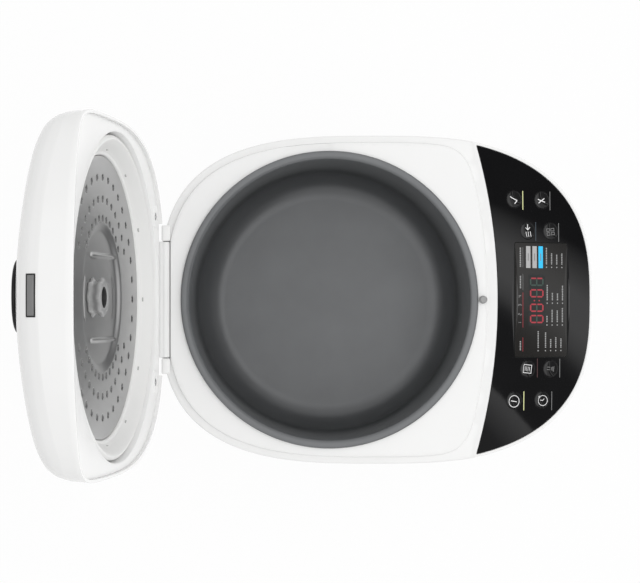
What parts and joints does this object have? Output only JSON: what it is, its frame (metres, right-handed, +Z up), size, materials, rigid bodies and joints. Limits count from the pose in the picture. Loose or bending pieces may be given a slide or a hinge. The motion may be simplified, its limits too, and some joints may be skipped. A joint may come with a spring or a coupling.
{
  "type": "multicooker",
  "caption": "Countertop multicooker with its lid open: rounded body, sloping key panel with display, lift-out bowl and a hinged lid with a pull-off inner lid.",
  "frame": {"origin": "middle of the open-lid outline, on the table under the feet", "axes": "+Z up; -Y towards the key panel at the front; +X to the user's right; rest pose with the lid open 99 degrees"},
  "size_m": [0.2652, 0.4388, 0.4507],
  "materials": {
    "white_shell": "glossy",
    "black_gloss": "glossy",
    "display_tint": "glossy, tinted, lit from behind",
    "black_plastic": "matt",
    "grey_gloss": "semi-gloss",
    "bowl_coating": "non-stick coating, satin",
    "aluminium": "satin, anodised",
    "cast_metal": "as cast",
    "steel": "satin",
    "heater_foil": "foil",
    "silicone": "matt",
    "dark_rubber": "matt",
    "board_green": "matt"
  },
  "bodies": {
    "base": {"outer_body": "white_shell", "bottom_cover": "white_shell", "foot_front_right": "dark_rubber", "foot_front_left": "dark_rubber", "foot_rear_right": "dark_rubber", "foot_rear_left": "dark_rubber", "base_screw_1": "steel", "base_screw_2": "steel", "base_screw_3": "steel", "base_screw_4": "steel", "power_inlet": "black_plastic", "top_deck": "white_shell", "control_panel": "black_gloss", "display_window": "display_tint", "display_board": "board_green", "striker": "steel", "hinge_pin": "steel", "lid_spring_left": "steel", "lid_spring_right": "steel", "inner_chamber": "aluminium", "side_heater_band": "heater_foil", "heating_plate": "cast_metal", "sensor_bracket": "steel", "sensor_spring": "steel", "power_board": "board_green"},
    "bowl": {"cooking_bowl": "bowl_coating"},
    "sensor": {"temperature_sensor": "aluminium"},
    "lid": {"lid_cover": "white_shell", "lid_liner": "white_shell", "hinge_bracket": "white_shell", "lid_screw_left": "steel", "lid_screw_right": "steel", "lid_top_trim": "black_gloss", "steam_duct": "white_shell", "duct_seal": "silicone", "button_spring": "steel"},
    "inner_lid": {"inner_lid": "aluminium", "inner_lid_seal": "silicone", "valve_hub": "grey_gloss"},
    "steam_cap": {"steam_cap": "black_plastic"},
    "release_button": {"release_button": "grey_gloss"},
    "latch": {"latch_slider": "steel"},
    "key_confirm_cap": {"key_confirm": "black_gloss"},
    "key_cancel_cap": {"key_cancel": "black_gloss"},
    "key_memory_cap": {"key_memory": "black_gloss"},
    "key_manual_cap": {"key_manual": "black_gloss"},
    "key_power_cap": {"key_power": "black_gloss"},
    "key_timer_cap": {"key_timer": "black_gloss"},
    "key_menu_cap": {"key_menu": "black_gloss"},
    "key_keep_warm_cap": {"key_keep_warm": "black_gloss"}
  },
  "joints": [
    {"name": "lid_hinge", "type": "hinge", "parent": "base", "child": "lid", "pos_m": [0, 0.13156, 0.1905], "axis": [-1, 0, 0], "range_deg": [-99, 0], "stiffness_Nm_per_rad": 0.4, "springref_deg": 34.38},
    {"name": "bowl_lift", "type": "slide", "parent": "base", "child": "bowl", "axis": [0, 0, 1], "range_m": [0, 0.15]},
    {"name": "inner_lid_pull", "type": "slide", "parent": "lid", "child": "inner_lid", "axis": [0, -0.9877, 0.1564], "range_m": [0, 0.025]},
    {"name": "steam_cap_pull", "type": "slide", "parent": "lid", "child": "steam_cap", "axis": [0, 0.9877, -0.1564], "range_m": [0, 0.02]},
    {"name": "release_press", "type": "slide", "parent": "lid", "child": "release_button", "axis": [0, -0.1564, -0.9877], "range_m": [0, 0.0045], "stiffness_N_per_m": 600, "springref_m": -0.003, "deforming": ["button_spring"]},
    {"name": "latch_slide", "type": "slide", "parent": "lid", "child": "latch", "axis": [-1, 0, 0], "range_m": [0, 0.006]},
    {"name": "sensor_press", "type": "slide", "parent": "base", "child": "sensor", "axis": [0, 0, 1], "range_m": [-0.003, 0], "stiffness_N_per_m": 500, "springref_m": 0.003, "deforming": ["sensor_spring"]},
    {"name": "key_confirm_press", "type": "slide", "parent": "base", "child": "key_confirm_cap", "axis": [-0.0692, 0.4008, -0.9135], "range_m": [0, 0.0006], "stiffness_N_per_m": 2000, "springref_m": -0.0005},
    {"name": "key_cancel_press", "type": "slide", "parent": "base", "child": "key_cancel_cap", "axis": [-0.066, 0.4013, -0.9135], "range_m": [0, 0.0006], "stiffness_N_per_m": 2000, "springref_m": -0.0005},
    {"name": "key_memory_press", "type": "slide", "parent": "base", "child": "key_memory_cap", "axis": [-0.0469, 0.404, -0.9135], "range_m": [0, 0.0006], "stiffness_N_per_m": 2000, "springref_m": -0.0005},
    {"name": "key_manual_press", "type": "slide", "parent": "base", "child": "key_manual_cap", "axis": [-0.0451, 0.4042, -0.9135], "range_m": [0, 0.0006], "stiffness_N_per_m": 2000, "springref_m": -0.0005},
    {"name": "key_power_press", "type": "slide", "parent": "base", "child": "key_power_cap", "axis": [0.0692, 0.4008, -0.9135], "range_m": [0, 0.0006], "stiffness_N_per_m": 2000, "springref_m": -0.0005},
    {"name": "key_timer_press", "type": "slide", "parent": "base", "child": "key_timer_cap", "axis": [0.066, 0.4013, -0.9135], "range_m": [0, 0.0006], "stiffness_N_per_m": 2000, "springref_m": -0.0005},
    {"name": "key_menu_press", "type": "slide", "parent": "base", "child": "key_menu_cap", "axis": [0.0469, 0.404, -0.9135], "range_m": [0, 0.0006], "stiffness_N_per_m": 2000, "springref_m": -0.0005},
    {"name": "key_keep_warm_press", "type": "slide", "parent": "base", "child": "key_keep_warm_cap", "axis": [0.0451, 0.4042, -0.9135], "range_m": [0, 0.0006], "stiffness_N_per_m": 2000, "springref_m": -0.0005}
  ],
  "couplings": [
    {"joint": "latch_slide", "follows": "release_press", "ratio": 1.3333}
  ]
}
